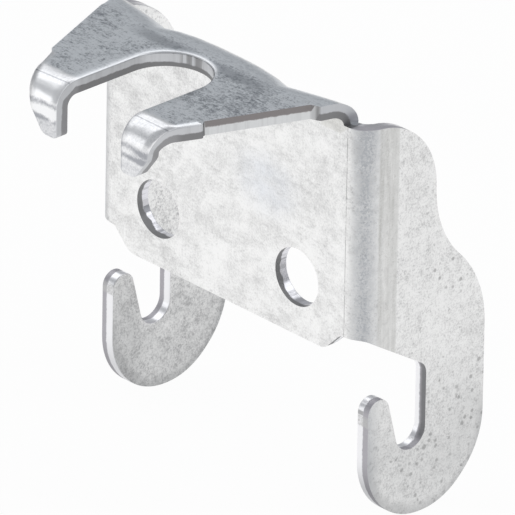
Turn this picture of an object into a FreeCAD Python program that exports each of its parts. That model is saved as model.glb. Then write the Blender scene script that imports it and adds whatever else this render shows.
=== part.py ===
import FreeCAD, Part
import math
import os

# Trapezoidal profile clamp: one punched and folded sheet of galvanised steel.
# X runs along the web, Y from the web's front face to the rear, Z up.
# The origin is midway between the two bolt holes, on the web's front face.

# Sheet
sheet = 2.0
bend_radius = 1.3

# Web with its two bolt holes; heights and drops count from the hole line
width = 50.0
hole_diameter = 8.0
hole_spacing = 26.0
web_drop = 8.15
web_corner_radius = 2.2
relief_radius = 1.2
relief_angle = 45.0

# Side flanges above the hooks
flange_height = 24.4
flange_depth = 12.8
flange_corner_radius = 11.0
flank_start = 6.7
flank_end_drop = 2.6
flank_hollow_radius = 15.0
flank_round_radius = 16.0
bend_edge_drop = 5.25
slope_start = 1.2
slope_angle = 32.0
slope_blend_radius = 3.0

# Hooks below the flanges
hook_depth = 21.9
hook_drop = 32.5
hook_setback = 1.6
toe_radius = 9.4
heel_rise = 6.55
heel_run = 6.55
heel_upper_radius = 11.2
heel_lower_radius = 9.5
tip_drop = 14.2
tip_width = 3.26
tip_radius = 1.8
slot_back = 11.7
slot_drop = 23.0
slot_floor_width = 4.6
slot_radius = 3.0
slot_corner_radius = 2.0

# Tongue folded forward from the top of the web
tongue_height = 27.7
tongue_reach = 24.5
root_half_rear = 21.7
root_half_front = 20.2
root_length = 3.2
trim_half_rear = 19.5
trim_half_front = 14.2
trim_end = 17.2
trim_shift = -0.65
step_length = 0.6
step_radius = 0.4
finger_half = 14.1
finger_taper = 0.43
throat_width = 12.0
throat_end = 5.05
lip_bend_radius = 1.5
lip_length = 7.5
lip_shoulder = 4.2
lip_foot_width = 2.6
lip_shoulder_radius = 2.0
lip_foot_radius = 1.5
lip_inner_radius = 0.7

# The tongue's bend opens out at two dips beside the throat
middle_bend_radius = 2.3
dip_bend_radius = 4.6
dip_offset = 11.3
middle_power = 3.0
end_power = 1.2
bend_steps = 4

# Room by which cutting bodies pass through what they cut, and the shortest edge of an outline
overrun = 2.0
trim_play = 0.3
shortest_edge = 1e-6
quarter_turn = math.pi / 2


def on_side(y, z):
    return FreeCAD.Vector(0, y, z)


def on_front(x, z):
    return FreeCAD.Vector(x, 0, z)


def on_top(x, y):
    return FreeCAD.Vector(x, y, 0)


def rounded_face(corners, place):
    """Face of a closed outline; each corner is (u, v, radius), with radii limited by their edges."""
    count = len(corners)
    points = [place(u, v) for u, v, _ in corners]
    reach = []
    turns = []
    for i in range(count):
        before = (points[i - 1] - points[i]).normalize()
        after = (points[(i + 1) % count] - points[i]).normalize()
        half_angle = before.getAngle(after) / 2
        turns.append((before, after, half_angle))
        reach.append(corners[i][2] / math.tan(half_angle))
    scale = [1.0] * count
    for i in range(count):
        j = (i + 1) % count
        needed = reach[i] + reach[j]
        room = points[i].distanceToPoint(points[j])
        if needed > room:
            scale[i] = min(scale[i], room / needed)
            scale[j] = min(scale[j], room / needed)
    starts = []
    ends = []
    middles = []
    for i in range(count):
        before, after, half_angle = turns[i]
        tangent = reach[i] * scale[i]
        radius = tangent * math.tan(half_angle)
        starts.append(points[i] + before * tangent)
        ends.append(points[i] + after * tangent)
        bisector = before + after
        if tangent > 0:
            to_arc = radius / math.sin(half_angle) - radius
            middles.append(points[i] + bisector.normalize() * to_arc)
        else:
            middles.append(None)
    edges = []
    for i in range(count):
        if middles[i] is not None:
            edges.append(Part.Arc(starts[i], middles[i], ends[i]).toShape())
        j = (i + 1) % count
        if ends[i].distanceToPoint(starts[j]) > shortest_edge:
            edges.append(Part.LineSegment(ends[i], starts[j]).toShape())
    return Part.Face(Part.Wire(Part.__sortEdges__(edges)))


def along_x(face, x_from, x_to):
    face.translate(FreeCAD.Vector(x_from, 0, 0))
    return face.extrude(FreeCAD.Vector(x_to - x_from, 0, 0))


def along_y(face, y_from, y_to):
    face.translate(FreeCAD.Vector(0, y_from, 0))
    return face.extrude(FreeCAD.Vector(0, y_to - y_from, 0))


def along_z(face, z_from, z_to):
    face.translate(FreeCAD.Vector(0, 0, z_from))
    return face.extrude(FreeCAD.Vector(0, 0, z_to - z_from))


def mirrored(shape):
    return shape.mirror(FreeCAD.Vector(0, 0, 0), FreeCAD.Vector(1, 0, 0))


outer_radius = bend_radius + sheet
bend_line = width / 2 - outer_radius
slope = math.tan(math.radians(slope_angle))
slot_top_drop = bend_edge_drop + slope * (slot_back - slope_start)
mouth_level = -(tip_drop + bend_edge_drop + slope * outer_radius) / 2


def channel():
    """Web and both flanges as one bent channel, down to the mouths of the hooks."""
    half = width / 2
    inner = half - sheet
    rear = hook_depth + overrun
    section = rounded_face([
        (-half, rear, 0),
        (-half, 0, outer_radius),
        (half, 0, outer_radius),
        (half, rear, 0),
        (inner, rear, 0),
        (inner, sheet, bend_radius),
        (-inner, sheet, bend_radius),
        (-inner, rear, 0),
    ], on_top)
    return along_z(section, mouth_level, flange_height + overrun)


def flange_outline():
    """Side view of a flange and its hook."""
    return rounded_face([
        (-overrun, flange_height, 0),
        (flange_depth, flange_height, flange_corner_radius),
        (flange_depth, flank_start, flank_hollow_radius),
        (hook_depth, -flank_end_drop, flank_round_radius),
        (hook_depth, -hook_drop + heel_rise, heel_upper_radius),
        (hook_depth - heel_run, -hook_drop, heel_lower_radius),
        (hook_setback, -hook_drop, toe_radius),
        (hook_setback, -tip_drop, tip_radius),
        (hook_setback + tip_width, -tip_drop, tip_radius),
        (slot_back - slot_floor_width, -slot_drop, slot_radius),
        (slot_back, -slot_drop, slot_radius),
        (slot_back, -slot_top_drop, slot_corner_radius),
        (slope_start, -bend_edge_drop, slope_blend_radius),
        (-overrun, -bend_edge_drop, 0),
    ], on_side)


def hook():
    """Right-hand hook: flat sheet below the level of its mouth."""
    inner = width / 2 - sheet
    plate = along_x(flange_outline(), inner, width / 2)
    below = Part.makeBox(sheet, hook_depth, hook_drop + mouth_level, FreeCAD.Vector(inner, 0, -hook_drop))
    return plate.common(below)


def web_foot():
    """Lower strip of the web, with a hollow relief beside each bend."""
    rise = web_drop - bend_edge_drop
    relief_lead = relief_radius * math.tan(math.radians(relief_angle) / 2)
    shoulder = bend_line - relief_lead
    foot = shoulder - rise / math.tan(math.radians(relief_angle))
    outline = rounded_face([
        (-bend_line, 0, 0),
        (-bend_line, -bend_edge_drop, 0),
        (-shoulder, -bend_edge_drop, relief_radius),
        (-foot, -web_drop, web_corner_radius),
        (foot, -web_drop, web_corner_radius),
        (shoulder, -bend_edge_drop, relief_radius),
        (bend_line, -bend_edge_drop, 0),
        (bend_line, 0, 0),
    ], on_front)
    return along_y(outline, 0, sheet)


def bend_inner_radius(x):
    """Inner radius of the tongue's bend at a place along the web."""
    offset = abs(x)
    if offset <= dip_offset:
        share = (offset / dip_offset) ** middle_power
        return middle_bend_radius + (dip_bend_radius - middle_bend_radius) * share
    share = ((root_half_rear - offset) / (root_half_rear - dip_offset)) ** end_power
    return bend_radius + (dip_bend_radius - bend_radius) * share


def bend_places():
    """Places along the web, closer to the dips, at which the bend's radius is set."""
    inside = [dip_offset * i / bend_steps for i in range(bend_steps + 1)]
    end_room = root_half_rear - dip_offset
    outside = [dip_offset + end_room * i / bend_steps for i in range(1, bend_steps + 1)]
    right = inside + outside
    left = [-x for x in reversed(right[1:])]
    return left + right


def corner_wedge(corner_y, corner_z, radius_at):
    """Body between a sharp corner at the rear top and an arc of changing radius."""
    wires = []
    for x in bend_places():
        radius = radius_at(x)
        middle = radius * (1 - math.cos(quarter_turn / 2))
        front = FreeCAD.Vector(x, corner_y - radius, corner_z)
        arc_middle = FreeCAD.Vector(x, corner_y - middle, corner_z - middle)
        lower = FreeCAD.Vector(x, corner_y, corner_z - radius)
        corner = FreeCAD.Vector(x, corner_y, corner_z)
        wires.append(Part.Wire([
            Part.Arc(front, arc_middle, lower).toShape(),
            Part.LineSegment(lower, corner).toShape(),
            Part.LineSegment(corner, front).toShape(),
        ]))
    return Part.makeLoft(wires, True, True)


def tongue_outline():
    """Plan view of the tongue as far as its lip bends, with the throat cut in from the front."""
    finger_end = tongue_reach - lip_bend_radius - sheet
    finger_start = trim_end + step_length
    finger_tip_half = finger_half - finger_taper * (finger_end - finger_start)

    def edge(side):
        trim_rear = trim_half_rear + side * trim_shift
        trim_front = trim_half_front + side * trim_shift
        return [
            (side * root_half_rear, sheet, 0),
            (side * root_half_front, -root_length, step_radius),
            (side * trim_rear, -root_length - step_length, step_radius),
            (side * trim_front, -trim_end, step_radius),
            (side * finger_half, -finger_start, step_radius),
            (side * finger_tip_half, -finger_end, 0),
        ]

    half_throat = throat_width / 2
    throat = [
        (half_throat, -finger_end, 0),
        (half_throat, -throat_end, half_throat),
        (-half_throat, -throat_end, half_throat),
        (-half_throat, -finger_end, 0),
    ]
    return rounded_face(edge(1) + throat + list(reversed(edge(-1))), on_top), finger_end, finger_tip_half


def tongue():
    """Flat of the tongue and the bend that joins it to the web."""
    outline, finger_end, finger_tip_half = tongue_outline()
    underside = tongue_height - sheet
    web_join = underside - dip_bend_radius - sheet
    section = rounded_face([
        (-finger_end, tongue_height, 0),
        (sheet, tongue_height, 0),
        (sheet, web_join, 0),
        (0, web_join, 0),
        (0, underside, 0),
        (-finger_end, underside, 0),
    ], on_side)
    body = along_x(section, -root_half_rear, root_half_rear)
    body = body.fuse(corner_wedge(0, underside, bend_inner_radius))
    plan = along_z(outline, web_join, tongue_height)
    return body.common(plan), finger_end, finger_tip_half


def lip(finger_end, finger_tip_half):
    """Right-hand lip: the tapered bend at a finger's end and the rounded foot that hangs from it."""
    half_throat = throat_width / 2
    bend_outer = lip_bend_radius + sheet
    bend_end = tongue_height - bend_outer
    neutral = lip_bend_radius + sheet / 2
    lip_half = finger_tip_half - finger_taper * neutral * quarter_turn
    axis = FreeCAD.Vector(0, -finger_end, bend_end)
    start = Part.Face(Part.makePolygon([
        FreeCAD.Vector(half_throat, -finger_end, tongue_height - sheet),
        FreeCAD.Vector(finger_half, -finger_end, tongue_height - sheet),
        FreeCAD.Vector(finger_half, -finger_end, tongue_height),
        FreeCAD.Vector(half_throat, -finger_end, tongue_height),
        FreeCAD.Vector(half_throat, -finger_end, tongue_height - sheet),
    ]))
    bend = start.revolve(axis, FreeCAD.Vector(1, 0, 0), math.degrees(quarter_turn))

    # The taper of the finger goes on round the bend, square to the sheet
    wires = []
    inside = lip_bend_radius - trim_play
    outside = bend_outer + trim_play
    for step in range(bend_steps + 1):
        angle = quarter_turn * step / bend_steps
        near = finger_tip_half - finger_taper * neutral * angle
        far = finger_half + overrun
        radial = FreeCAD.Vector(0, -math.sin(angle), math.cos(angle))
        wires.append(Part.makePolygon([
            axis + radial * inside + FreeCAD.Vector(near, 0, 0),
            axis + radial * inside + FreeCAD.Vector(far, 0, 0),
            axis + radial * outside + FreeCAD.Vector(far, 0, 0),
            axis + radial * outside + FreeCAD.Vector(near, 0, 0),
            axis + radial * inside + FreeCAD.Vector(near, 0, 0),
        ]))
    bend = bend.cut(Part.makeLoft(wires, True, True))

    foot = tongue_height - lip_length
    outline = rounded_face([
        (half_throat, bend_end, 0),
        (lip_half, bend_end, 0),
        (lip_half, tongue_height - lip_shoulder, lip_shoulder_radius),
        (half_throat + lip_foot_width, foot, lip_foot_radius),
        (half_throat, foot, lip_inner_radius),
    ], on_front)
    return bend.fuse(along_y(outline, -tongue_reach, -tongue_reach + sheet))


def bolt_hole(side):
    place = FreeCAD.Vector(side * hole_spacing / 2, -overrun, 0)
    return Part.makeCylinder(hole_diameter / 2, sheet + 2 * overrun, place, FreeCAD.Vector(0, 1, 0))


def profile_clamp():
    top, finger_end, finger_tip_half = tongue()
    right_lip = lip(finger_end, finger_tip_half)
    right_hook = hook()
    body = channel().common(along_x(flange_outline(), -width, width))
    body = body.fuse([right_hook, mirrored(right_hook), web_foot(), top, right_lip, mirrored(right_lip)])
    body = body.cut(corner_wedge(sheet, tongue_height, lambda x: bend_inner_radius(x) + sheet))
    body = body.cut([bolt_hole(-1), bolt_hole(1)])
    return body.removeSplitter()


os.makedirs("parts", exist_ok=True)
clamp = profile_clamp()
print("solids", len(clamp.Solids), "valid", clamp.isValid(), "volume", round(clamp.Volume, 1))
print("box", clamp.BoundBox)
clamp.exportStep("parts/profile_clamp.step")
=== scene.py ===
import math
from types import SimpleNamespace

import bpy
from mathutils import Matrix, Vector


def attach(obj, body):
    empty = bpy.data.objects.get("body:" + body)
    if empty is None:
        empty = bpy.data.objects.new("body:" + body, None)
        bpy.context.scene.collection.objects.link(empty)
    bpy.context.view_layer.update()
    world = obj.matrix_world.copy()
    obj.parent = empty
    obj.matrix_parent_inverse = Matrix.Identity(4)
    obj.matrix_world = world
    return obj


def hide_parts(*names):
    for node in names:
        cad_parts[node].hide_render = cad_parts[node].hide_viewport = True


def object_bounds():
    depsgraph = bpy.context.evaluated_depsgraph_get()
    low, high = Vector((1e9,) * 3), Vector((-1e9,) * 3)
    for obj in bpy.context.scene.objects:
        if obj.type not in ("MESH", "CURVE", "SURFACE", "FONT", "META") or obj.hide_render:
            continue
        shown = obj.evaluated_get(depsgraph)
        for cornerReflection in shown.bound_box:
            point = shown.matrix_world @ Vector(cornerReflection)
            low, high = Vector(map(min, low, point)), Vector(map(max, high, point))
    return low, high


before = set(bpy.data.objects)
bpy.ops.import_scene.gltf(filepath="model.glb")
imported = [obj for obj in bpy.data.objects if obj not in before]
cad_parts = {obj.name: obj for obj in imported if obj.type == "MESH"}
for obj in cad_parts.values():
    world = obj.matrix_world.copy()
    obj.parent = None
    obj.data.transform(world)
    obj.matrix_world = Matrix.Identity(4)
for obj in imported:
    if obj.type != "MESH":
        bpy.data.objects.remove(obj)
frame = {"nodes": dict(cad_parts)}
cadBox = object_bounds()
perMetre = 1000  # settings are in mm, the frame is in metres
print("frame loaded:", ", ".join(frame["nodes"]))


# node wiring: numbers as plain expressions, everything else through node()
class Wire:
    def __init__(self, tree, socket=None):
        self.tree = tree
        self.socket = socket

    def node(self, kind, settings=None, inputs=None, output=0):
        made = self.tree.nodes.new(kind)
        for name, value in (settings or {}).items():
            setattr(made, name, value)
        for name, value in (inputs or {}).items():
            if isinstance(value, Wire):
                self.tree.links.new(value.socket, made.inputs[name])
            else:
                made.inputs[name].default_value = value
        return Wire(self.tree, made.outputs[output])

    def out(self, which):  # another output of the same node
        return Wire(self.tree, self.socket.node.outputs[which])

    def maths(self, operation, *values):
        return self.node("ShaderNodeMath", {"operation": operation}, dict(enumerate(values)))

    def __add__(self, other):
        return self.maths("ADD", self, other)

    __radd__ = __add__

    def __sub__(self, other):
        return self.maths("SUBTRACT", self, other)

    def __rsub__(self, other):
        return self.maths("SUBTRACT", other, self)

    def __mul__(self, other):
        return self.maths("MULTIPLY", self, other)

    __rmul__ = __mul__

    def __abs__(self):
        return self.maths("ABSOLUTE", self)

    def above(self, floor):  # the larger of the two
        return self.maths("MAXIMUM", self, floor)

    def apart(self, other):  # length of the two as sides of a right angle
        return self.maths("SQRT", self * self + other * other)

    def swing(self, amount):  # a pattern about its middle
        return (self - 0.5) * amount

    def rise(self, low, high):  # soft step from 0 at low to 1 at high
        return self.node(
            "ShaderNodeMapRange",
            {"interpolation_type": "SMOOTHSTEP"},
            {"Value": self, "From Min": low, "From Max": high},
        )

    def band(self, low, high, soft):  # 1 between low and high, with soft edges
        return self.rise(low - soft, low + soft) * (1 - self.rise(high - soft, high + soft))

    def blend(self, first, second, way="MIX"):  # colour mix, this wire as the factor
        return self.node(
            "ShaderNodeMix",
            {"data_type": "RGBA", "blend_type": way, "clamp_factor": True},
            {0: self, 6: first, 7: second},  # the colour sockets of a Mix node
            2,
        )


# the folded sheet in mm: outer sizes from the frame, bends and edges as in the CAD source, rolled rims
clampForm = {
    "node": "profile_clamp",
    "sheet": 2.0,
    "half": cadBox[1].x * perMetre,
    "tongueTop": cadBox[1].z * perMetre,
    "tongueReach": -cadBox[0].y * perMetre,
    "flangeBend": 1.3,
    "mouthLevel": -10.8,
    "lipBend": 1.5,
    "rootHalf": 21.7,
    "bendMiddle": 2.3,
    "bendDip": 4.6,
    "dipOffset": 11.3,
    "middlePower": 3.0,
    "endPower": 1.2,
    "throatHalf": 6.0,
    "trimRear": -3.3,
    "trimFront": -17.1,
    "trimClear": 1.0,
    "webFront": -1.0,
    "rootFront": -4.6,
    "rootInner": 14.0,
    "cornerInner": 19.5,
    "cornerOuter": 23.1,
    "cornerLevel": 23.5,
    "cornerRear": 3.2,
    "stepPlay": 0.9,
    "slack": 0.05,
    "depthPlay": 0.1,
    "mergeGap": 0.07,
    "sliver": 0.003,
    "rimWidth": 0.25,
    "rimShare": 0.55,
    "rimSteps": 3,
    "flatAngle": 0.5,
    "rimAngle": 50,
    "smoothAngle": 40,
    "edgeStart": 0.8,  # cosines between a face and the sheet's own direction
    "edgeSpan": 0.5,
}


def tongueBend(x):  # inner radius of the tongue's bend along the web
    form = clampForm
    offset = abs(x)
    if offset <= form["dipOffset"]:
        share = (offset / form["dipOffset"]) ** form["middlePower"]
        return form["bendMiddle"] + (form["bendDip"] - form["bendMiddle"]) * share
    left = (form["rootHalf"] - offset) / (form["rootHalf"] - form["dipOffset"])
    share = max(0.0, left) ** form["endPower"]
    return form["flangeBend"] + (form["bendDip"] - form["flangeBend"]) * share


def lipAxis():  # y and z of the line that the lips are bent round
    form = clampForm
    back = form["sheet"] + form["lipBend"]
    return back - form["tongueReach"], form["tongueTop"] - back


def flangeAxis():  # x and y of the line that the flanges are bent round, y is also the outer radius
    form = clampForm
    outer = form["flangeBend"] + form["sheet"]
    return form["half"] - outer, outer


def sheetAt(point):  # depth in mm from the outer face of the channel, and the way that depth grows
    form = clampForm
    x, y, z = point * perMetre
    side = math.copysign(1, x)
    sheet, slack = form["sheet"], form["slack"]
    across = Vector((-side, 0, 0))
    if z < form["mouthLevel"]:
        return form["half"] - abs(x), across
    lipY, lipZ = lipAxis()
    if y < lipY:
        if z < lipZ:
            return sheet - form["tongueReach"] - y, Vector((0, -1, 0))
        arm = Vector((0, y - lipY, z - lipZ))
        return arm.length - form["lipBend"], arm.normalized()
    under = form["tongueTop"] - sheet
    inner = tongueBend(x)
    if abs(x) <= form["rootHalf"] + slack and z > under - inner and y > -inner:
        arm = Vector((0, y + inner, z - under + inner))
        return arm.length - inner, arm.normalized()
    if y < -slack and z > under - slack:
        return z - under, Vector((0, 0, 1))
    bendLine, outer = flangeAxis()
    if abs(x) > bendLine and y < outer:
        arm = Vector((abs(x) - bendLine, outer - y, 0))
        return outer - arm.length, Vector((-side * arm.x, arm.y, 0)).normalized()
    if abs(x) > form["half"] - sheet - slack:
        return form["half"] - abs(x), across
    return y, Vector((0, 1, 0))


def trimmedBack(point):  # side edges of the tongue that were trimmed from below
    form = clampForm
    x, y, z = point * perMetre
    onTongue = z > form["tongueTop"] - form["sheet"] - form["trimClear"]
    atSide = abs(x) > form["throatHalf"] + form["trimClear"]
    return form["trimFront"] < y < form["trimRear"] and onTongue and atSide


def rimWeight(point):  # tongue and lips roll more, the corners beside the bend not at all
    form = clampForm
    x, y, z = point * perMetre
    besideBend = form["cornerInner"] < abs(x) < form["cornerOuter"] and z > form["cornerLevel"]
    if besideBend and y < form["cornerRear"]:
        return 0.0
    if y > form["webFront"]:
        return form["rimShare"]
    atRoot = y > form["rootFront"] and abs(x) > form["rootInner"]
    atSide = abs(x) > form["throatHalf"] + form["trimClear"]
    atStep = abs(y - form["trimFront"]) < form["stepPlay"] and atSide
    return 0.0 if atRoot or atStep else 1.0


def editAll():
    bpy.ops.object.mode_set(mode="EDIT")
    bpy.ops.mesh.select_all(action="SELECT")


def markRims(mesh):  # edges on the rolled side of the sheet get a bevel weight
    form = clampForm
    depth = [sheetAt(v.co)[0] for v in mesh.vertices]
    beside = {}
    for face in mesh.polygons:
        for key in face.edge_keys:
            beside.setdefault(key, []).append(face.normal)
    rim = mesh.attributes.new("bevel_weight_edge", "FLOAT", "EDGE")
    rims = 0
    for edge in mesh.edges:
        normals = beside[tuple(sorted(edge.vertices))]
        if len(normals) != 2 or normals[0].angle(normals[1]) < math.radians(form["rimAngle"]):
            continue
        first, second = edge.vertices
        middle = (mesh.vertices[first].co + mesh.vertices[second].co) / 2
        rolledAt = 0 if trimmedBack(middle) else form["sheet"]
        if all(abs(depth[v] - rolledAt) < form["depthPlay"] for v in edge.vertices):
            rim.data[edge.index].value = rimWeight(middle)
            rims += 1
    return rims


def markSheet(mesh):  # what the finish needs to know of the sheet
    form = clampForm
    rollDepth = mesh.attributes.new("rollDepth", "FLOAT", "POINT")  # mm from the rolled side
    for vert in mesh.vertices:
        depth = sheetAt(vert.co)[0]
        rollDepth.data[vert.index].value = depth if trimmedBack(vert.co) else form["sheet"] - depth
    cutEdge = mesh.attributes.new("cutEdge", "FLOAT", "FACE")  # 1 on the cut edges of the sheet
    rearFace = mesh.attributes.new("rearFace", "FLOAT", "FACE")  # 1 on the inner faces of the channel
    for face in mesh.polygons:
        square = face.normal.dot(sheetAt(face.center)[1])
        edgeShare = (form["edgeStart"] - abs(square)) / form["edgeSpan"]
        cutEdge.data[face.index].value = min(1.0, max(0.0, edgeShare))
        rearFace.data[face.index].value = max(0.0, square)


def makeClamp():
    form = clampForm
    bpy.ops.object.select_all(action="DESELECT")
    piece = bpy.data.objects.new("clampSheet", frame["nodes"][form["node"]].data.copy())
    bpy.context.scene.collection.objects.link(piece)
    bpy.context.view_layer.objects.active = piece
    piece.select_set(True)
    editAll()
    bpy.ops.mesh.customdata_custom_splitnormals_clear()
    bpy.ops.mesh.remove_doubles(threshold=form["mergeGap"] / perMetre)
    bpy.ops.mesh.dissolve_limited(angle_limit=math.radians(form["flatAngle"]))
    bpy.ops.object.mode_set(mode="OBJECT")
    print("clamp sheet merged:", len(piece.data.polygons), "faces")

    rims = markRims(piece.data)
    rolled = piece.modifiers.new("rolledRim", "BEVEL")
    rolled.limit_method = "WEIGHT"
    rolled.width = form["rimWidth"] / perMetre
    rolled.segments = form["rimSteps"]
    rolled.use_clamp_overlap = False
    bpy.ops.object.modifier_apply(modifier=rolled.name)
    editAll()
    bpy.ops.mesh.remove_doubles(threshold=form["sliver"] / perMetre)  # where two rims meet
    bpy.ops.mesh.dissolve_degenerate(threshold=form["sliver"] / perMetre)
    bpy.ops.object.mode_set(mode="OBJECT")
    bpy.ops.object.shade_smooth_by_angle(angle=math.radians(form["smoothAngle"]))
    evened = piece.modifiers.new("evenNormals", "WEIGHTED_NORMAL")
    evened.keep_sharp = True
    bpy.ops.object.modifier_apply(modifier=evened.name)
    markSheet(piece.data)
    print("clamp sheet rims rolled:", rims, "edges,", len(piece.data.polygons), "faces")
    return piece


# dull hot-dip zinc: cloudy, grainy, pitted, rubbed at the folds, two-tone at the cut edges; some of these
# colours are painted shade, painted highlights and painted reflections
zincColours = {
    "pale": (0.98, 0.98, 0.975, 1),
    "dull": (0.58, 0.58, 0.58, 1),
    "rearDull": (0.54, 0.54, 0.545, 1),
    "tonguePale": (0.75, 0.78, 0.81, 1),
    "tongueDull": (0.26, 0.28, 0.31, 1),
    "blueReflection": (0.74, 0.79, 0.88, 1),
    "paintedShade": (0.55, 0.555, 0.56, 1),
    "rimHighlight": (0.9, 0.91, 0.93, 1),
    "beigeReflection": (0.6, 0.59, 0.54, 1),
    "pit": (0.2, 0.2, 0.2, 1),
    "fold": (0.465, 0.48, 0.503, 1),
    "rub": (0.52, 0.52, 0.508, 1),
    "hookBurnish": (0.9, 0.9, 0.92, 1),
    "hookTorn": (0.5, 0.49, 0.52, 1),
    "hookDeep": (0.26, 0.26, 0.27, 1),
    "holeBurnish": (0.74, 0.74, 0.78, 1),
    "holeTorn": (0.28, 0.28, 0.285, 1),
    "tongueBurnish": (0.56, 0.57, 0.59, 1),
    "tongueTorn": (0.27, 0.27, 0.275, 1),
    "trimBurnish": (0.66, 0.67, 0.68, 1),
    "trimTorn": (0.29, 0.27, 0.27, 1),
    "lip": (0.97, 0.975, 0.985, 1),
    "lipBandDark": (0.4, 0.41, 0.44, 1),
    "lipTorn": (0.35, 0.35, 0.36, 1),
}

even = (1, 1, 1)
zincPatterns = {  # scale per mm, detail, roughness, and the scale's share along x, y and z: less draws it out
    "clouds": (0.14, 3, 0.55, even),
    "grain": (3.4, 3, 0.7, even),
    "blots": (0.8, 3, 0.65, even),
    "streaks": (0.9, 4, 0.75, (0.4, 1, 1)),
    "flecks": (1.5, 3, 0.7, (0.6, 1, 1)),
    "fleckFields": (0.25, 2, 0.5, even),
    "wisps": (0.36, 5, 0.62, (0.6, 1, 1)),
    "dashes": (2.9, 3, 0.7, (0.45, 1, 1)),
    "crinkle": (2.2, 3, 0.7, even),
    "coolPatch": (0.4, 2, 0.5, even),
    "pitFields": (0.3, 2, 0.5, even),
    "specks": (3.0, 2, 0.6, even),
    "speckFields": (0.5, 2, 0.5, even),
    "creaseBreaks": (0.8, 2, 0.6, even),
    "wear": (0.7, 3, 0.6, (1, 2, 0.2)),
    "holeTear": (0.3, 2, 0.6, even),
    "tear": (1.3, 3, 0.7, even),
    "tornRough": (1.6, 3, 0.7, even),
    "holeWaves": (0.55, 2, 0.5, (1, 0.3, 1)),
    "tongueScores": (1.4, 3, 0.7, (1, 1, 0.06)),
    "throatScores": (2.2, 2, 0.5, (1, 1, 0.04)),
    "holeScores": (1.1, 3, 0.6, (1, 0.06, 1)),
    "wander": (0.35, 2, 0.5, even),
    "markBreaks": (0.5, 2, 0.6, even),
    "lipWaves": (0.5, 2, 0.5, (0.25, 1, 1)),
}

zincPlaces = {  # mm over which a place begins or ends
    "onFlange": (21.6, 23.2),
    "onTongue": (-0.9, -0.4),
    "onLip": (-21.3, -20.2),
    "right": (-1, 1),
    "holeBelow": (-15, -8),
    "holeAbove": (2, 8),
}


def findPlaces(tree):  # coordinates in mm, places from 0 to 1, and patterns
    limits = zincPlaces
    start = Wire(tree)
    at = SimpleNamespace(start=start, all=1.0)
    point = start.node("ShaderNodeTexCoord", output="Object")
    at.spot = start.node("ShaderNodeVectorMath", {"operation": "SCALE"}, {0: point, "Scale": perMetre})
    at.x = start.node("ShaderNodeSeparateXYZ", None, {0: at.spot})
    at.y, at.z = at.x.out(1), at.x.out(2)
    at.wide = abs(at.x)
    for name, layer in {"cut": "cutEdge", "rear": "rearFace", "depth": "rollDepth"}.items():
        setattr(at, name, start.node("ShaderNodeAttribute", {"attribute_name": layer}, None, "Fac"))
    at.onFlange = at.wide.rise(*limits["onFlange"])
    at.onTongue = 1 - at.y.rise(*limits["onTongue"])
    at.onLip = 1 - at.y.rise(*limits["onLip"])
    at.onWeb = (1 - at.onTongue) * (1 - at.onFlange)
    at.right = at.x.rise(*limits["right"])
    at.rearFlange = at.rear * at.onFlange
    throughHole = at.z.rise(*limits["holeBelow"]) * (1 - at.z.rise(*limits["holeAbove"]))
    at.throughHole = at.rearFlange * throughHole  # seen through a bolt hole from the front
    for name, (scale, detail, rough, shares) in zincPatterns.items():
        where = start.node("ShaderNodeMapping", None, {"Vector": at.spot, "Scale": shares})
        inputs = {"Vector": where, "Scale": scale, "Detail": detail, "Roughness": rough}
        setattr(at, name, start.node("ShaderNodeTexNoise", None, inputs))
    return at


def weighed(at, amounts):  # sum of places, each times its amount
    return sum(getattr(at, place) * amount for place, amount in amounts.items())


def swung(at, swings):  # sum of patterns, each about its middle and times its amounts by place
    return sum(getattr(at, name).swing(weighed(at, amounts)) for name, amounts in swings.items())


# sheet faces: fine grain everywhere, coarser on the inner side and the tongue; painted shade on the flanges,
# deepest low on the hooks and round their rims
sheetTone = {
    "swings": {  # how far a pattern moves the tone, by place
        "clouds": {"all": 0.6, "onTongue": 0.7},
        "streaks": {"all": 0.6},
        "wisps": {"onWeb": 1.1, "rearFlange": 0.8},
        "grain": {"all": 1.9, "onTongue": -0.4, "rear": 0.4, "rearFlange": -0.4, "onWeb": -0.6},
        "dashes": {"onTongue": 1.7},
        "blots": {"all": 0.7, "onTongue": 0.5, "onFlange": 0.3},
        "crinkle": {"rearFlange": 0.6, "throughHole": 0.9},
    },
    "lifts": {  # from dull at 0 to pale at 1, by place
        "all": 0.7,
        "onTongue": 0.03,
        "rearFlange": -0.07,
        "rearUpper": 0.23,
        "throughHole": -0.08,
        "webLeft": -0.05,
        "webTop": -0.05,
        "flecked": -0.45,
        "webFlecked": 0.2,
    },
    "shades": {  # share of the painted shade, by place
        "onFlange": 0.22,
        "rearFlange": -0.2,
        "rearLow": 0.16,
        "rearHeel": 0.16,
        "rearFront": 0.26,
        "hookLow": 0.3,
        "hookRim": 0.4,
        "rearRim": 0.5,
    },
    "rimSwing": 1.2,
    "lowSwing": 0.8,
    "flecked": (0.52, 0.72),
    "fleckFields": (0.35, 0.6),
    "webLeft": (-18, 0),
    "webTop": (6, 18),
    "rearUpper": (-16, -4),
    "rearLow": (-18, 2),
    "rearHeel": (26, 46),
    "rearFront": (4, 9),
    "rearRim": (6, 14),
    "hookLow": (-24, -8),
    "hookMiddle": (11.7, -22.3),
    "hookRim": (8.4, 10.6),
    "hookRimTop": (-24, -18),
    "coolMiddle": (7, 11),
    "coolSquash": 0.7746,
    "coolReach": (1, 6),
    "coolShare": 0.6,
}


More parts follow.
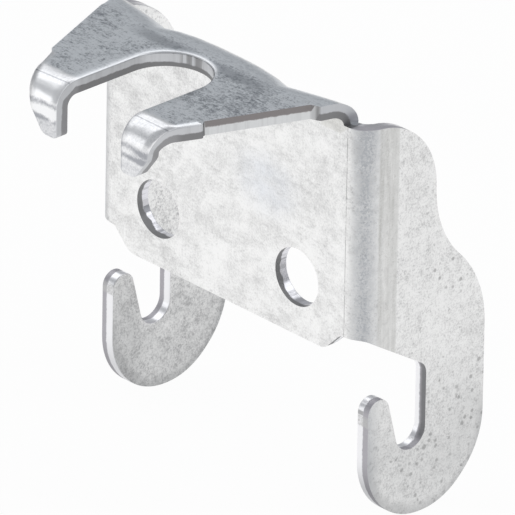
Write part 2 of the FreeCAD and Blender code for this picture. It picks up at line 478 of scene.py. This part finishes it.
def findTones(at):
    tone = sheetTone
    y, z = at.y, at.z
    web = at.onWeb * (1 - at.rear)
    at.webLeft = web * (1 - at.x.rise(*tone["webLeft"]))
    at.webTop = web * z.rise(*tone["webTop"])
    at.flecked = at.flecks.rise(*tone["flecked"]) * at.fleckFields.rise(*tone["fleckFields"])
    at.webFlecked = at.flecked * at.onWeb
    at.rearUpper = at.rearFlange * z.rise(*tone["rearUpper"])
    at.rearLow = at.rearFlange * (1 - z.rise(*tone["rearLow"]))
    at.rearHeel = at.rearFlange * (y - z).rise(*tone["rearHeel"])
    at.rearFront = at.rearFlange * (1 - y.rise(*tone["rearFront"]))
    at.hookLow = at.onFlange * (1 - z.rise(*tone["hookLow"]))
    hookY, hookZ = tone["hookMiddle"]
    fromHook = (y - hookY).apart(z - hookZ)
    at.hookRim = fromHook.rise(*tone["hookRim"]) * at.onFlange * (1 - z.rise(*tone["hookRimTop"]))
    at.rearRim = at.hookRim * at.rear * y.rise(*tone["rearRim"])


def sheetColour(at):
    tone, paint = sheetTone, zincColours
    findTones(at)
    pale = (weighed(at, tone["lifts"]) + swung(at, tone["swings"])).rise(0, 1)
    dull = at.onTongue.blend(at.rear.blend(paint["dull"], paint["rearDull"]), paint["tongueDull"])
    colour = pale.blend(dull, at.onTongue.blend(paint["pale"], paint["tonguePale"]))
    # a painted bluish reflection on the web's front
    coolX, coolZ = tone["coolMiddle"]
    fromCool = ((at.x - coolX) * tone["coolSquash"]).apart(at.z - coolZ)
    blueReflection = (1 - fromCool.rise(*tone["coolReach"])) * (1 - at.rear) * (1 - at.onTongue) * at.coolPatch
    colour = (blueReflection * tone["coolShare"]).blend(colour, paint["blueReflection"])
    # painted shade on the flanges: low on the hooks, round the hook rims, and on the inner faces towards the
    # foot, heel and front
    paintedShade = weighed(at, tone["shades"]) + at.hookRim * at.grain.swing(tone["rimSwing"])
    paintedShade = paintedShade + at.hookLow * at.clouds.swing(tone["lowSwing"])
    return paintedShade.blend(colour, paint["paintedShade"], "MULTIPLY")


# tongue: painted glow along throat and sides, painted highlight and dark reflection bands towards the rear
# bend, painted highlights along the rims, painted beige reflections on the web corners at its root
tongueTone = {
    "throatMiddle": -11.05,
    "sideHalf": 14.1,
    "sideStart": -17.8,
    "sideTaper": 0.43,
    "sideEnd": (-17.9, -17.5),
    "sideClear": 5,
    "glowThroat": (0.3, 2.2),
    "glowLeft": (-5, -3),
    "glowSide": (0.3, 1.7),
    "glowShare": 0.65,
    "rearBand": (-4.0, -3.2),
    "rearShare": 0.6,
    "dips": (-6.2, -4.2, 0.6),
    "darkReflectionEnd": (9, 14),
    "darkReflectionShare": 0.55,
    "rimThroat": (0.1, 0.7),
    "rimRight": (3.5, 6),
    "rimRear": (-11, -8),
    "rimLeast": 0.5,
    "rimRearShare": 0.4,
    "rimSide": (0.3, 1.0),
    "rimShare": 0.9,
    "cornerLevel": (22.9, 23.2),
    "cornerSide": (16.5, 17.2),
    "slantFrom": 20.4,
    "slantTaper": 0.8,
    "slantLevel": (22.9, 23.1),
    "cornerReflectionShare": 0.35,
}


def tongueColour(at, colour):
    tone, paint = tongueTone, zincColours
    x, y, z, wide = at.x, at.y, at.z, at.wide
    at.fromThroat = x.apart((y - tone["throatMiddle"]).above(0)) - clampForm["throatHalf"]
    at.fromSide = (y - tone["sideStart"]) * tone["sideTaper"] + tone["sideHalf"] - wide
    at.fromSide = at.fromSide + y.rise(*tone["sideEnd"]) * tone["sideClear"]
    # painted glow along the throat and the sides of the tongue
    paintedGlow = (1 - at.fromThroat.rise(*tone["glowThroat"])) * (1 - x.rise(*tone["glowLeft"]))
    paintedGlow = paintedGlow.above(1 - at.fromSide.rise(*tone["glowSide"])) * at.onTongue
    # painted highlight band towards the rear bend
    rearBand = y.rise(*tone["rearBand"]) * at.onTongue
    paintedGlow = (paintedGlow * tone["glowShare"]).above(rearBand * tone["rearShare"])
    colour = paintedGlow.blend(colour, paint["tonguePale"])
    # painted dark reflection band on the tongue before the rear bend
    dips = y.band(*tone["dips"]) * (1 - wide.rise(*tone["darkReflectionEnd"])) * at.onTongue
    colour = (dips * tone["darkReflectionShare"]).blend(colour, paint["tongueDull"])
    # painted highlight along the rims of the throat and the sides
    rimmed = (1 - at.fromThroat.rise(*tone["rimThroat"])) * (1 - x.rise(*tone["rimRight"]))
    rimmed = rimmed * (y.rise(*tone["rimRear"]) * tone["rimRearShare"] + tone["rimLeast"])
    at.rimmed = rimmed.above(1 - at.fromSide.rise(*tone["rimSide"])) * at.onTongue
    colour = (at.rimmed * tone["rimShare"]).blend(colour, paint["rimHighlight"])
    # painted beige reflection on the web's corners beside the tongue's root
    slant = z - (wide - tone["slantFrom"]) * tone["slantTaper"]
    cornerReflection = z.rise(*tone["cornerLevel"]) * slant.rise(*tone["slantLevel"])
    cornerReflection = cornerReflection * wide.rise(*tone["cornerSide"]) * at.onWeb * (1 - at.rear)
    return (cornerReflection * tone["cornerReflectionShare"]).blend(colour, paint["beigeReflection"])


# dark pits, gathered low on the hooks and at the rear shoulders
pitMarks = {
    "cellScale": 0.85,
    "hookLow": (-26, -6),
    "hookRear": (3, 9),
    "shoulder": (15, 0.5),
    "shoulderReach": (2, 6),
    "shoulderShare": 0.7,
    "elsewhere": 0.12,
    "fields": (0.35, 0.6),
    "rearLoss": 0.8,
    "foldShare": 0.25,
    "sizeLeast": 0.15,
    "sizeSpread": 0.26,
    "grown": (0.0, 0.5),
    "shown": (0.0, 0.3),
    "chosen": (0.35, 0.5),
    "soft": 0.09,
    "darkness": 0.5,
}


def pitColour(at, colour):
    mark = pitMarks
    inputs = {"Vector": at.spot, "Scale": mark["cellScale"], "Randomness": 1.0}
    cells = at.start.node("ShaderNodeTexVoronoi", {"feature": "F1"}, inputs, "Distance")
    chance = at.start.node("ShaderNodeSeparateColor", None, {0: cells.out("Color")})
    shoulderY, shoulderZ = mark["shoulder"]
    fromShoulder = (at.y - shoulderY).apart(at.z - shoulderZ)
    gathered = (1 - at.z.rise(*mark["hookLow"])) * at.y.rise(*mark["hookRear"]) + mark["elsewhere"]
    gathered = gathered + (1 - fromShoulder.rise(*mark["shoulderReach"])) * mark["shoulderShare"]
    cluster = gathered * at.pitFields.rise(*mark["fields"]) * at.onFlange * (1 - at.rear * mark["rearLoss"])
    cluster = cluster + at.fold * mark["foldShare"]
    size = (chance * mark["sizeSpread"] + mark["sizeLeast"]) * cluster.rise(*mark["grown"])
    pits = (1 - (cells - size).rise(-mark["soft"], mark["soft"])) * chance.out(1).rise(*mark["chosen"])
    at.pits = pits * (1 - at.cut) * cluster.rise(*mark["shown"])
    return (at.pits * mark["darkness"]).blend(colour, zincColours["pit"])


# folds between web and flanges: painted bluish shade on the round, rubbed strip beyond, crease before
foldShadeAndWear = {
    "round": (0.55, 1.15, 0.35),  # radians round the bend
    "roundShare": 0.75,
    "whole": (0.25, 1.6, 0.2),
    "wholeShare": 0.25,
    "top": (16, 22),
    "topShare": 0.2,
    "foldShadeDepth": 0.8,
    "grainSwing": 3.0,
    "specks": (0.6, 0.7),
    "speckFields": (0.4, 0.6),
    "speckShare": 0.35,
    "crease": (21.8, 21.88, 0.05),
    "creaseRear": (0.3, 0.6),
    "creaseBreaks": (0.3, 0.5),
    "creaseShare": 0.75,
    "strip": (2.8, 6.1, 0.22),
    "stripFront": (2.8, 3.5, 0.2),
    "frontShare": 0.2,
    "stripFoot": (-12, -7),
    "stripUpper": (0, 20),
    "rub": 0.46,
    "rubUpper": 0.16,
    "wearSwing": 1.2,
    "rubGrain": 1.8,
}


def findFolds(at):
    wear = foldShadeAndWear
    bendLine, outer = flangeAxis()
    turn = at.start.maths("ARCTAN2", at.wide - bendLine, outer - at.y)
    whole = turn.band(*wear["whole"]) * (at.z.rise(*wear["top"]) * wear["topShare"] + wear["wholeShare"])
    fold = turn.band(*wear["round"]) * wear["roundShare"] + whole
    at.fold = fold * (1 - at.rear) * (1 - at.onTongue)
    crease = at.x.band(*wear["crease"]) * (1 - at.y.rise(*wear["creaseRear"]))
    at.crease = crease * at.creaseBreaks.rise(*wear["creaseBreaks"]) * (1 - at.onTongue)
    strip = at.y.band(*wear["strip"]) + at.y.band(*wear["stripFront"]) * wear["frontShare"]
    at.rubbed = strip * at.onFlange * (1 - at.rear) * at.z.rise(*wear["stripFoot"])


def foldColour(at, colour):
    wear, paint = foldShadeAndWear, zincColours
    # painted bluish shade on the bend's round, broken by the grain
    foldShade = at.fold * (at.grain.swing(wear["grainSwing"]) + wear["foldShadeDepth"])
    colour = foldShade.blend(colour, paint["fold"])
    specks = at.specks.rise(*wear["specks"]) * at.speckFields.rise(*wear["speckFields"])
    colour = (at.fold * specks * wear["speckShare"]).blend(colour, paint["pit"])
    colour = (at.crease * wear["creaseShare"]).blend(colour, paint["pit"])
    rub = at.z.rise(*wear["stripUpper"]) * wear["rubUpper"] + wear["rub"]
    rub = rub + at.wear.swing(wear["wearSwing"]) + at.grain.swing(wear["rubGrain"])
    return (at.rubbed * rub).blend(colour, paint["rub"])


# cut edges: burnished next to the rolled side, torn beyond
edgeCuts = {
    "shares": {  # mm of the sheet that are burnished
        "all": 1.05,
        "throatWall": 0.04,
        "throatRear": 0.3,
        "inSlot": 0.15,
        "rightSlot": -0.36,
        "trimmed": 0.05,
        "onLip": -0.1,
        "leftHook": 0.15,
    },
    "holeMiddle": 0.45,
    "holeSwing": 2.2,
    "tearSwing": 0.4,
    "tornFrom": (-0.1, 0.1),
    "deepFrom": (-0.1, 0.6),
    "trim": (-17.3, -3.3, 0.1),
    "throatSide": (6.5, 7.5),
    "throatRear": (-12, -7),
    "slot": (11.0, 16.0, 0.5),
    "slotLevel": (-26, -11, 1),
    "rootTop": (21.5, 23),
    "rootSide": (22.0, 22.4),
    "rootBend": 1.45,
    "bendFront": (-3.35, -3.25),
    "bendInner": (18, 18.5),
    "bendOuter": (21.75, 21.85),
    "bendLevel": (24.3, 24.4),
    "bendShare": 0.5,
    "topLevel": (19, 21),
    "topRear": (6, 9),
    "topShare": 0.75,
}


def findEdges(at):
    edge = edgeCuts
    y, z, wide = at.y, at.z, at.wide
    at.trimmed = y.band(*edge["trim"]) * wide.rise(*edge["throatSide"])
    at.inThroat = at.onTongue * (1 - wide.rise(*edge["throatSide"]))
    at.throatWall = at.inThroat * (1 - at.onLip)
    at.throatRear = at.throatWall * y.rise(*edge["throatRear"])
    at.inSlot = y.band(*edge["slot"]) * at.onFlange * z.band(*edge["slotLevel"])
    at.rightSlot = at.inSlot * at.right
    at.leftHook = at.onFlange * (1 - at.right) * (1 - at.inSlot)
    at.onRoot = at.onTongue.above(z.rise(*edge["rootTop"]) * (1 - wide.rise(*edge["rootSide"])))
    at.inHole = (1 - at.onFlange) * (1 - at.onRoot)
    rootBend = y.rise(*edge["bendFront"]) * z.rise(*edge["bendLevel"])
    at.rootBend = rootBend * wide.rise(*edge["bendInner"]) * (1 - wide.rise(*edge["bendOuter"]))


def tornDepth(at):  # mm beyond the burnished part of a cut
    edge, form = edgeCuts, clampForm
    bendBase = form["tongueTop"] - form["sheet"] - edge["rootBend"]
    arm = (at.y + edge["rootBend"]).above(0).apart((at.z - bendBase).above(0))
    depth = at.depth + (edge["rootBend"] + form["sheet"] - arm - at.depth) * at.rootBend
    share = weighed(at, edge["shares"])
    share = share + at.inHole * (at.holeTear - edge["holeMiddle"]) * edge["holeSwing"]
    return depth + at.tear.swing(edge["tearSwing"]) - share


def edgeColour(at):
    edge, paint = edgeCuts, zincColours
    ragged = tornDepth(at)
    at.torn = ragged.rise(*edge["tornFrom"])
    burnish = at.onFlange.blend(paint["holeBurnish"], paint["hookBurnish"])
    burnish = at.trimmed.blend(at.onRoot.blend(burnish, paint["tongueBurnish"]), paint["trimBurnish"])
    burnish = (at.rootBend * edge["bendShare"]).blend(burnish, paint["fold"])
    topEdge = at.z.rise(*edge["topLevel"]) * at.onFlange * (1 - at.y.rise(*edge["topRear"]))
    burnish = (topEdge * edge["topShare"]).blend(burnish, paint["hookTorn"])
    hookTorn = (at.rightSlot * ragged.rise(*edge["deepFrom"])).blend(paint["hookTorn"], paint["hookDeep"])
    rip = at.onFlange.blend(paint["holeTorn"], hookTorn)
    rip = at.onRoot.blend(rip, at.onLip.blend(paint["tongueTorn"], paint["lipTorn"]))
    return at.torn.blend(burnish, at.trimmed.blend(rip, paint["trimTorn"]))


# front edges of the hooks: cut twice at a step, nicked above it on one side, painted shade at the toes
hookMarks = {
    "front": (3, 5),
    "step": (-17.7, -16.2, 0.15),
    "stepRise": 1,
    "stepShare": 0.7,
    "stepSwing": 3.0,
    "nick": (-16.15, -15.55, 0.12),
    "nickShare": 0.75,
    "toe": (-28, -22),
    "toeShare": 0.6,
    "toeRight": 0.4,
}


def hookColour(at, colour):
    mark, paint = hookMarks, zincColours
    atFront = at.onFlange * (1 - at.y.rise(*mark["front"]))
    stepped = (at.z - (1 - at.right) * mark["stepRise"]).band(*mark["step"]) * atFront
    stepped = stepped * (at.grain.swing(mark["stepSwing"]) + mark["stepShare"])
    colour = stepped.blend(colour, paint["dull"])
    nick = at.z.band(*mark["nick"]) * atFront * at.right * (1 - at.torn)
    colour = (nick * mark["nickShare"]).blend(colour, paint["tongueTorn"])
    # painted shade towards the toes of the hooks
    toe = (1 - at.z.rise(*mark["toe"])) * at.onFlange
    toe = toe * (at.right * mark["toeRight"] + mark["toeShare"])
    return toe.blend(colour, paint["paintedShade"], "MULTIPLY")


# lines that the punch left through the sheet, and painted shade lines at the steps where the side trims of
# the tongue end
scoresAndStepShade = {
    "lines": {  # place, pattern step and share
        "tongueScores": ("fingers", (0.45, 0.62), 0.15),
        "throatScores": ("throatStrip", (0.42, 0.55), 0.8),
        "holeScores": ("inHole", (0.48, 0.58), 0.3),
    },
    "throatStrip": (-3.0, 0.4, 0.3),
    "trimEnds": (  # band along y, side from the middle, share
        ((-3.5, -3.2, 0.1), (18, 19), 0.6),
        ((-3.8, -3.3, 0.1), (18, 19), 0.3),
        ((-17.75, -17.05, 0.06), (9, 10), 0.85),
    ),
}


def scoresAndStepShadeColour(at, colour):
    lineTable = scoresAndStepShade
    at.fingers = at.onTongue * (1 - at.onLip)
    at.throatStrip = at.x.band(*lineTable["throatStrip"]) * at.inThroat
    darkLines = 0
    for pattern, (place, step, share) in lineTable["lines"].items():
        darkLines = darkLines + getattr(at, pattern).rise(*step) * getattr(at, place) * share
    # painted shade lines at the steps where the tongue's side trims end
    for reach, side, share in lineTable["trimEnds"]:
        darkLines = darkLines + at.y.band(*reach) * at.wide.rise(*side) * at.onTongue * share
    return darkLines.blend(colour, zincColours["tongueTorn"])


# lips: drawn smooth round the bend, with a crease and painted dark reflection bands across
lipDarkBands = {
    "shares": {  # of the painted dark band, by place
        "all": 0.12,
        "lipFoot": 0.4,
        "rightFoot": -0.15,
        "lipTop": 0.16,
        "lipCrease": 0.5,
        "rightOuter": 0.45,
        "rightInner": 0.5,
        "leftDrawn": -0.3,
    },
    "swings": {"streaks": {"all": 0.8}, "grain": {"all": 1.1}},
    "wander": 0.8,
    "blotSwing": 1.0,
    "rightShift": 0.35,
    "upperFrom": 4.8,
    "upperTo": 5.3,
    "upperSoft": 0.4,
    "upperWiden": 0.6,
    "widenSide": (7, 12),
    "upperShare": 0.95,
    "upperRight": -0.25,
    "lower": (6.9, 7.5, 0.35),
    "lowerBreaks": (0.25, 0.45),
    "lowerShare": 0.95,
    "foot": (7.0, 7.9),
    "top": (0.3, 1.8, 0.4),
    "crease": (1.08, 1.28, 0.07),
    "creaseLeft": -5,
    "creaseLean": 0.045,
    "outer": (5.4, 7.2, 0.3),
    "outerSide": (7, 10),
    "inner": (1, 3),
    "innerSide": (6.1, 6.5),
    "paintedGlow": (2.0, 6.8, 0.5),
}


def lipColour(at):
    mark, form = lipDarkBands, clampForm
    right = at.right
    lipY, lipZ = lipAxis()
    turn = at.start.maths("ARCTAN2", (lipY - at.y).above(0), (at.z - lipZ).above(0))
    along = turn * (form["lipBend"] + form["sheet"]) + (lipZ - at.z).above(0)  # mm down the outer face
    wander = along + at.wander.swing(mark["wander"])
    blotted = at.blots.swing(mark["blotSwing"])
    upperTo = at.wide.rise(*mark["widenSide"]) * mark["upperWiden"] + mark["upperTo"]
    upper = (wander - right * mark["rightShift"]).band(mark["upperFrom"], upperTo, mark["upperSoft"])
    upper = upper * (right * mark["upperRight"] + mark["upperShare"] + blotted)
    lower = (wander + right * mark["rightShift"]).band(*mark["lower"])
    lower = lower * at.markBreaks.rise(*mark["lowerBreaks"]) * (blotted + mark["lowerShare"])
    at.lipFoot = along.rise(*mark["foot"])
    at.rightFoot = at.lipFoot * right
    at.lipTop = along.band(*mark["top"])
    lean = (mark["creaseLeft"] - at.x).above(0) * mark["creaseLean"]
    at.lipCrease = (along - lean).band(*mark["crease"])
    at.rightOuter = along.band(*mark["outer"]) * at.x.rise(*mark["outerSide"])
    at.rightInner = along.rise(*mark["inner"]) * (1 - at.wide.rise(*mark["innerSide"])) * right
    at.leftDrawn = along.band(*mark["paintedGlow"]) * (1 - right)
    # painted dark reflection bands on the lips, with the crease line
    darkBands = upper + lower + weighed(at, mark["shares"]) + swung(at, mark["swings"])
    return darkBands.blend(zincColours["lip"], zincColours["lipBandDark"])


# roughness of the faces and of the cut edges
zincRough = {
    "sheet": 0.42,
    "tongue": 0.34,
    "burnish": 0.3,
    "torn": 0.55,
    "rubbedLoss": 0.1,
    "holeLoss": 0.1,
    "grainSwing": 0.15,
}


def zincRoughness(at):
    rough = zincRough
    face = at.onTongue * (rough["tongue"] - rough["sheet"]) + rough["sheet"]
    face = face - at.rubbed * rough["rubbedLoss"] + at.grain.swing(rough["grainSwing"])
    edge = at.torn * (rough["torn"] - rough["burnish"]) + rough["burnish"]
    edge = edge - at.inHole * (1 - at.torn) * rough["holeLoss"]
    return face + (edge - face) * at.cut


# small heights in mm, as a bump
zincRelief = {
    "grain": 0.014,
    "streaks": 0.01,
    "pits": 0.03,
    "crease": 0.03,
    "torn": 0.03,
    "holeWaves": 0.35,
    "lipWaves": 0.12,
    "crinkle": {"rearFlange": 0.15, "throughHole": 0.05},
    "rubbedSmooth": 0.3,  # share of grain and streaks that is gone
    "lipSmooth": 0.7,
    "throatReach": 1.5,
    "throatFall": 0.11,
    "sideReach": 1.4,
    "sideFall": 0.2,
    "lipEase": (-21.9, -20.3),
    "lipFall": 0.12,
}


def zincHeight(at):
    relief = zincRelief
    face = 1 - at.cut
    smooth = (at.rubbed * relief["rubbedSmooth"]).above(at.onLip * relief["lipSmooth"]).above(at.rimmed)
    height = (at.grain * relief["grain"] + at.streaks * relief["streaks"]) * (1 - smooth) * face
    height = height - at.pits * relief["pits"] - at.crease * relief["crease"]
    height = height + at.torn * at.tornRough * relief["torn"] * at.cut
    height = height + at.inHole * at.holeWaves * relief["holeWaves"] * at.cut
    height = height + at.crinkle * weighed(at, relief["crinkle"]) * face
    height = height + at.onLip * at.lipWaves * relief["lipWaves"] * face
    nearThroat = (relief["throatReach"] - at.fromThroat).above(0)
    nearSide = (relief["sideReach"] - at.fromSide).above(0)
    fall = nearThroat * nearThroat * relief["throatFall"]
    fall = fall.above(nearSide * nearSide * relief["sideFall"])
    height = height - fall * at.onTongue * face  # the sheet draws down towards the cuts
    return height - (1 - at.y.rise(*relief["lipEase"])) * relief["lipFall"]  # and eases into the lips' bends


def makeZinc():
    material = bpy.data.materials.new("galvanisedZinc")
    material.use_nodes = True
    tree = material.node_tree
    shader = tree.nodes["Principled BSDF"]
    at = findPlaces(tree)
    findFolds(at)
    findEdges(at)
    faces = foldColour(at, pitColour(at, tongueColour(at, sheetColour(at))))
    edges = scoresAndStepShadeColour(at, hookColour(at, edgeColour(at)))
    colour = at.cut.blend(faces, edges)
    colour = (at.onLip * (1 - at.cut)).blend(colour, lipColour(at))
    inputs = {"Strength": 1.0, "Distance": 1 / perMetre, "Height": zincHeight(at)}
    bump = at.start.node("ShaderNodeBump", None, inputs)
    looks = {"Base Color": colour, "Roughness": zincRoughness(at), "Normal": bump}
    for name, wire in looks.items():
        tree.links.new(wire.socket, shader.inputs[name])
    shader.inputs["Metallic"].default_value = 1.0
    print("zinc finish wired:", len(tree.nodes), "nodes")
    return material


# pale floor with a low rim, so that low views stay white up to the horizon; sizes in metres
paleFloor = {
    "radius": 1.4,
    "sides": 96,
    "rimHeight": 0.052,
    "colour": (0.9, 0.9, 0.9, 1),
    "roughness": 0.8,
    "white": 0.96,
}


def makeFloorPaint():  # white where it is seen, plain paint where it only passes light on
    material = bpy.data.materials.new("paleFloorPaint")
    material.use_nodes = True
    tree = material.node_tree
    shader = tree.nodes["Principled BSDF"]
    shader.inputs["Base Color"].default_value = paleFloor["colour"]
    shader.inputs["Roughness"].default_value = paleFloor["roughness"]
    ray = Wire(tree).node("ShaderNodeLightPath", output="Is Camera Ray")
    seen = ray + ray.out("Is Glossy Ray") + ray.out("Is Transmission Ray")
    white = ray.node("ShaderNodeEmission", None, {"Strength": 1.0})
    paint = Wire(tree, shader.outputs[0])
    look = ray.node("ShaderNodeMixShader", None, {0: seen * paleFloor["white"], 1: paint, 2: white})
    tree.links.new(look.socket, tree.nodes["Material Output"].inputs["Surface"])
    return material


def makeFloor():
    ground = paleFloor
    bpy.ops.object.select_all(action="DESELECT")
    bpy.ops.mesh.primitive_circle_add(
        vertices=ground["sides"],
        radius=ground["radius"],
        fill_type="NGON",
        location=(0, 0, cadBox[0].z),
    )
    floor = bpy.context.active_object
    floor.name = "paleFloor"
    bpy.ops.object.transform_apply()
    editAll()
    bpy.ops.mesh.select_mode(type="EDGE")
    bpy.ops.mesh.extrude_edges_move(TRANSFORM_OT_translate={"value": (0, 0, ground["rimHeight"])})
    bpy.ops.object.mode_set(mode="OBJECT")
    floor.data.materials.append(makeFloorPaint())
    print("floor laid")


# soft lamps: direction from the clamp, distance and size in metres, watts
studioLight = {
    "skyColour": (0.43, 0.44, 0.455, 1),
    "lamps": {
        "keyLamp": ((-0.65, 0.02, 0.72), 0.6, 0.5, 0.68),
        "lowLamp": ((-0.65, -0.756, 0.16), 0.6, 0.22, 0.14),
        "backLamp": ((0.45, 0.6, 0.65), 0.7, 0.45, 0.65),
        "sideLamp": ((0.8, 0.15, 0.35), 0.7, 0.5, 0.36),
        "topLamp": ((-0.15, 0.45, 0.88), 0.7, 0.34, 0.36),
    },
}


def makeLight():
    world = bpy.data.worlds.new("studioWorld")
    bpy.context.scene.world = world
    world.use_nodes = True
    world.node_tree.nodes["Background"].inputs["Color"].default_value = studioLight["skyColour"]
    for name, (way, distance, size, watts) in studioLight["lamps"].items():
        towards = Vector(way).normalized()
        bpy.ops.object.light_add(type="AREA", location=towards * distance)
        lamp = bpy.context.active_object
        lamp.name = name
        lamp.rotation_euler = towards.to_track_quat("Z", "Y").to_euler()
        lamp.data.size = size
        lamp.data.energy = watts
        lamp.visible_camera = False
    print("studio lit:", len(studioLight["lamps"]), "lamps")


# the photograph's camera
photoView = {
    "azimuth": 46.5456,  # degrees
    "elevation": 26.3309,
    "roll": 1.0126,
    "focal": 16828.34,  # in pixels of the frame
    "frame": 515,
    "scale": 7.8253895,  # pixels per mm at the origin
    "shift": (-30.540074, -14.029527),  # pixels from the frame's middle to the origin
    "sensor": 36.0,
    "clipEnd": 20,  # metres
}


def makeCamera():
    view = photoView
    turn, rise, roll = (math.radians(view[name]) for name in ("azimuth", "elevation", "roll"))
    right = Vector((math.cos(turn), math.sin(turn), 0))
    down = Vector((math.sin(turn) * math.sin(rise), -math.cos(turn) * math.sin(rise), -math.cos(rise)))
    into = Vector((-math.sin(turn) * math.cos(rise), math.cos(turn) * math.cos(rise), -math.sin(rise)))
    away, aside, lower = (pixels / view["scale"] for pixels in (view["focal"], *view["shift"]))
    across = math.cos(roll) * right - math.sin(roll) * down
    up = -math.sin(roll) * right - math.cos(roll) * down
    pose = Matrix((across, up, -into)).transposed().to_4x4()
    pose.translation = (-away * into - aside * right - lower * down) / perMetre
    bpy.ops.object.camera_add()
    camera = bpy.context.active_object
    camera.name = "photoCamera"
    camera.matrix_world = pose
    camera.data.sensor_width = view["sensor"]
    camera.data.lens = view["sensor"] * view["focal"] / view["frame"]
    camera.data.clip_end = view["clipEnd"]
    bpy.context.scene.camera = camera
    print("camera set, lens", round(camera.data.lens), "mm")


bpy.context.scene.view_settings.view_transform = "Standard"
clamp = makeClamp()
clamp.data.materials.clear()
clamp.data.materials.append(makeZinc())
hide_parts("profile_clamp")
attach(clamp, "root")
makeFloor()
makeLight()
makeCamera()
